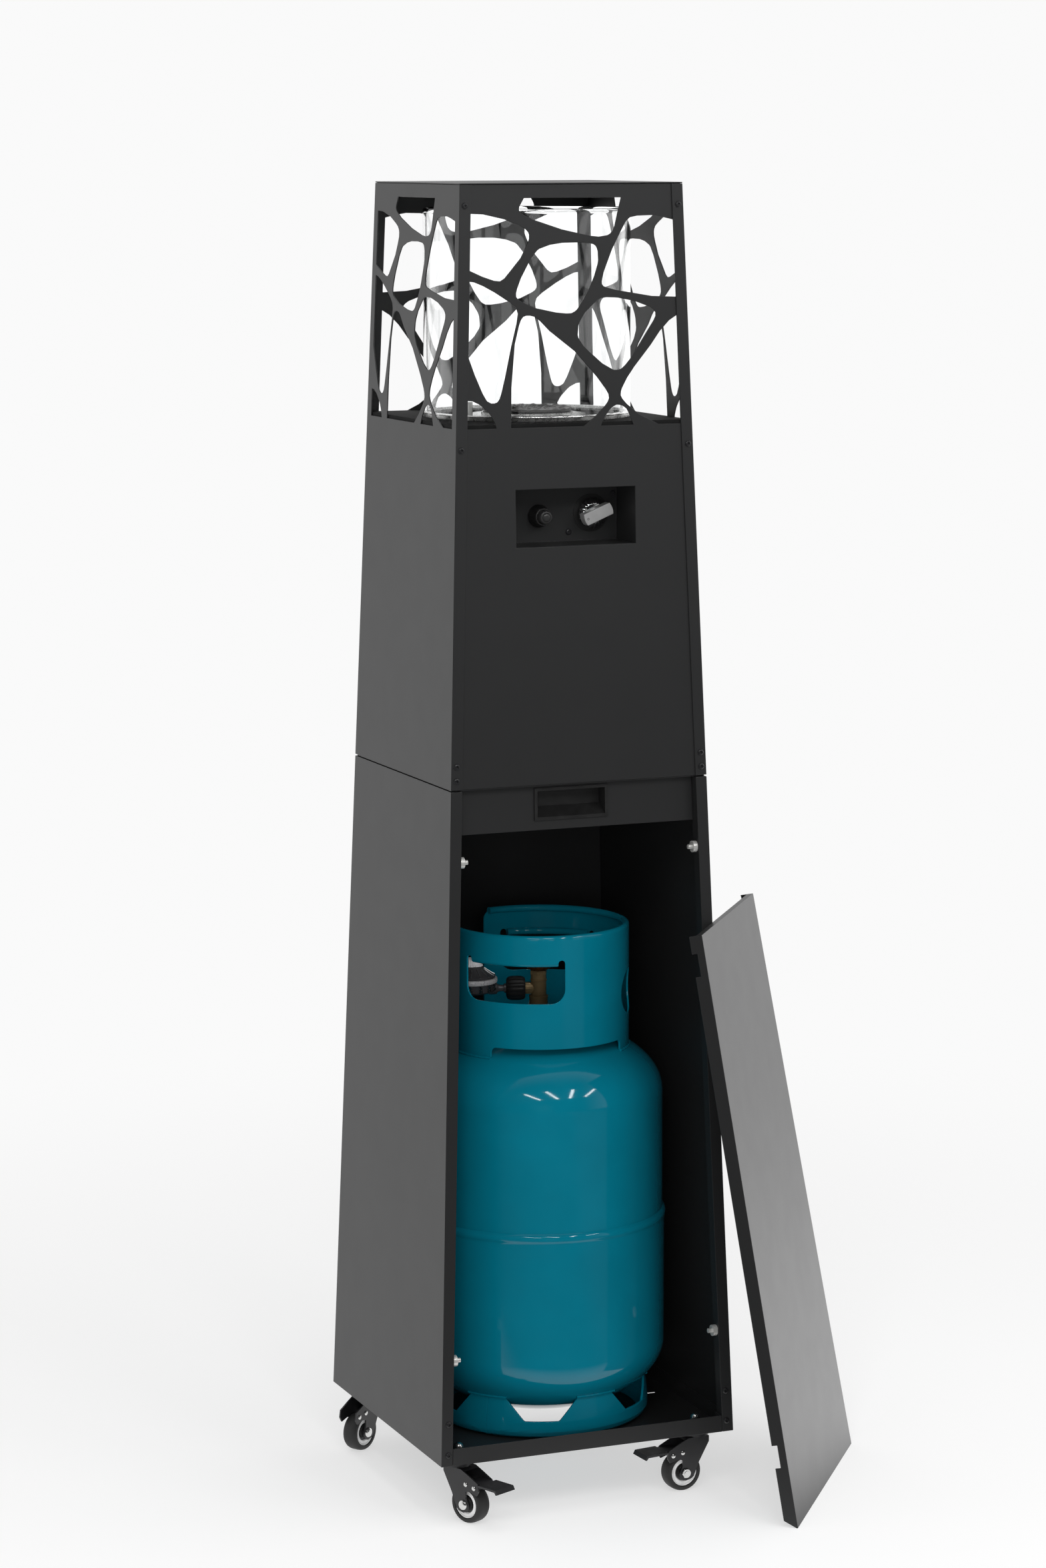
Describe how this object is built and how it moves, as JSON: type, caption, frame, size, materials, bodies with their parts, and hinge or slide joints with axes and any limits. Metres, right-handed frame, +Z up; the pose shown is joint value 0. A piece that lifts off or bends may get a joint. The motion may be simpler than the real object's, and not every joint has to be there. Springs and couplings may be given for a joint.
{
  "type": "pyramid patio heater",
  "caption": "Tapering gas patio heater on swivel castors: web-cut flame housing round a glass cylinder, open cabinet with a gas bottle, its door leaning beside it.",
  "frame": {"origin": "on the floor, below the centre of the bounding box of the heater with its leaning door", "axes": "+Z up, -Y out of the control front, +X to the right seen from the front"},
  "size_m": [0.6403, 0.5646, 1.662],
  "materials": {
    "powder_coat": "fine textured dark grey powder coat",
    "bottle_paint": "glossy teal enamel",
    "zinc": "zinc plated",
    "steel": "plain stainless",
    "chrome": "polished",
    "satin_steel": "satin",
    "brass": "dull",
    "black_plastic": "fine grained",
    "black_steel": "satin black",
    "rubber": "matt",
    "glass": "clear",
    "aluminium": "cast"
  },
  "bodies": {
    "heater": {"lower_left_panel": "powder_coat", "lower_right_panel": "powder_coat", "lower_back_panel": "powder_coat", "base_tray": "powder_coat", "cross_rail": "powder_coat", "divider_shelf": "powder_coat", "upper_left_panel": "powder_coat", "upper_right_panel": "powder_coat", "upper_front_panel": "powder_coat", "upper_back_panel": "powder_coat", "top_cover": "powder_coat", "burner_deck": "powder_coat", "control_recess": "powder_coat", "stud_top_left": "zinc", "stud_top_right": "zinc", "stud_low_left": "zinc", "stud_low_right": "zinc", "pilot_assembly": "zinc", "burner_head": "steel", "glass_gallery": "steel", "recess_handle": "black_plastic", "igniter_body": "black_plastic", "tilt_switch": "black_plastic", "gas_valve": "aluminium", "supply_tube": "aluminium", "glass_tube": "glass", "castor_head_fl": "black_steel", "castor_head_fr": "black_steel", "castor_head_bl": "black_steel", "castor_head_br": "black_steel"},
    "spindle": {"valve_spindle": "steel"},
    "knob": {"knob_base": "chrome", "knob_grip": "satin_steel"},
    "button": {"igniter_button": "black_plastic"},
    "bottle": {"bottle_body": "bottle_paint", "bottle_collar": "bottle_paint", "bottle_foot_ring": "bottle_paint", "bottle_valve": "brass", "regulator": "aluminium"},
    "handwheel": {"valve_handwheel": "brass"},
    "nut": {"hand_nut": "black_plastic"},
    "door": {"door_panel": "powder_coat"},
    "fork_fl": {"castor_fork_fl": "black_steel", "castor_axle_fl": "zinc"},
    "wheel_fl": {"castor_rim_fl": "satin_steel", "castor_tyre_fl": "rubber"},
    "fork_fr": {"castor_fork_fr": "black_steel", "castor_axle_fr": "zinc"},
    "wheel_fr": {"castor_rim_fr": "satin_steel", "castor_tyre_fr": "rubber"},
    "fork_bl": {"castor_fork_bl": "black_steel", "castor_axle_bl": "zinc"},
    "wheel_bl": {"castor_rim_bl": "satin_steel", "castor_tyre_bl": "rubber"},
    "fork_br": {"castor_fork_br": "black_steel", "castor_axle_br": "zinc"},
    "wheel_br": {"castor_rim_br": "satin_steel", "castor_tyre_br": "rubber"},
    "pedal_fl": {"brake_pedal_fl": "black_steel"},
    "pedal_fr": {"brake_pedal_fr": "black_steel"}
  },
  "joints": [
    {"name": "valve_push", "type": "slide", "parent": "heater", "child": "spindle", "axis": [0, 1, 0], "range_m": [0, 0.004], "stiffness_N_per_m": 800},
    {"name": "knob_turn", "type": "hinge", "parent": "spindle", "child": "knob", "pos_m": [-0.065, -0.0267, 1.2545], "axis": [0, -1, 0], "range_deg": [0, 180]},
    {"name": "igniter_push", "type": "slide", "parent": "heater", "child": "button", "axis": [0, 1, 0], "range_m": [0, 0.008], "stiffness_N_per_m": 900},
    {"name": "bottle_lift_out", "type": "slide", "parent": "heater", "child": "bottle", "axis": [0, -0.866, 0.5], "range_m": [0, 0.16]},
    {"name": "handwheel_turn", "type": "hinge", "parent": "bottle", "child": "handwheel", "pos_m": [-0.103, 0.0644, 0.6688], "axis": [0, 0, 1], "range_deg": [0, 540]},
    {"name": "nut_turn", "type": "hinge", "parent": "bottle", "child": "nut", "pos_m": [-0.13025, 0.07432, 0.6393], "axis": [-0.9397, 0.342, 0], "continuous": true},
    {"name": "door_tip", "type": "hinge", "parent": "heater", "child": "door", "pos_m": [0.2103, -0.1386, 0], "axis": [0.6056, 0.7958, 0], "range_deg": [0, 10.09]},
    {"name": "swivel_fl", "type": "hinge", "parent": "heater", "child": "fork_fl", "pos_m": [-0.2727, -0.0807, 0.06], "axis": [0, 0, 1], "continuous": true},
    {"name": "roll_fl", "type": "hinge", "parent": "fork_fl", "child": "wheel_fl", "pos_m": [-0.26383, -0.09973, 0.025], "axis": [0.9063, 0.4226, 0], "continuous": true},
    {"name": "brake_fl", "type": "hinge", "parent": "fork_fl", "child": "pedal_fl", "pos_m": [-0.25609, -0.11632, 0.0501], "axis": [-0.9063, -0.4226, 0], "range_deg": [0, 18]},
    {"name": "swivel_fr", "type": "hinge", "parent": "heater", "child": "fork_fr", "pos_m": [0.0533, -0.0807, 0.06], "axis": [0, 0, 1], "continuous": true},
    {"name": "roll_fr", "type": "hinge", "parent": "fork_fr", "child": "wheel_fr", "pos_m": [0.03238, -0.08253, 0.025], "axis": [0.0872, -0.9962, 0], "continuous": true},
    {"name": "brake_fr", "type": "hinge", "parent": "fork_fr", "child": "pedal_fr", "pos_m": [0.01415, -0.08413, 0.0501], "axis": [-0.0872, 0.9962, 0], "range_deg": [0, 18]},
    {"name": "swivel_bl", "type": "hinge", "parent": "heater", "child": "fork_bl", "pos_m": [-0.2727, 0.2453, 0.06], "axis": [0, 0, 1], "continuous": true},
    {"name": "roll_bl", "type": "hinge", "parent": "fork_bl", "child": "wheel_bl", "pos_m": [-0.29031, 0.23386, 0.025], "axis": [0.5446, -0.8387, 0], "continuous": true},
    {"name": "swivel_br", "type": "hinge", "parent": "heater", "child": "fork_br", "pos_m": [0.0533, 0.2453, 0.06], "axis": [0, 0, 1], "continuous": true},
    {"name": "roll_br", "type": "hinge", "parent": "fork_br", "child": "wheel_br", "pos_m": [0.0428, 0.22711, 0.025], "axis": [0.866, -0.5, 0], "continuous": true}
  ]
}
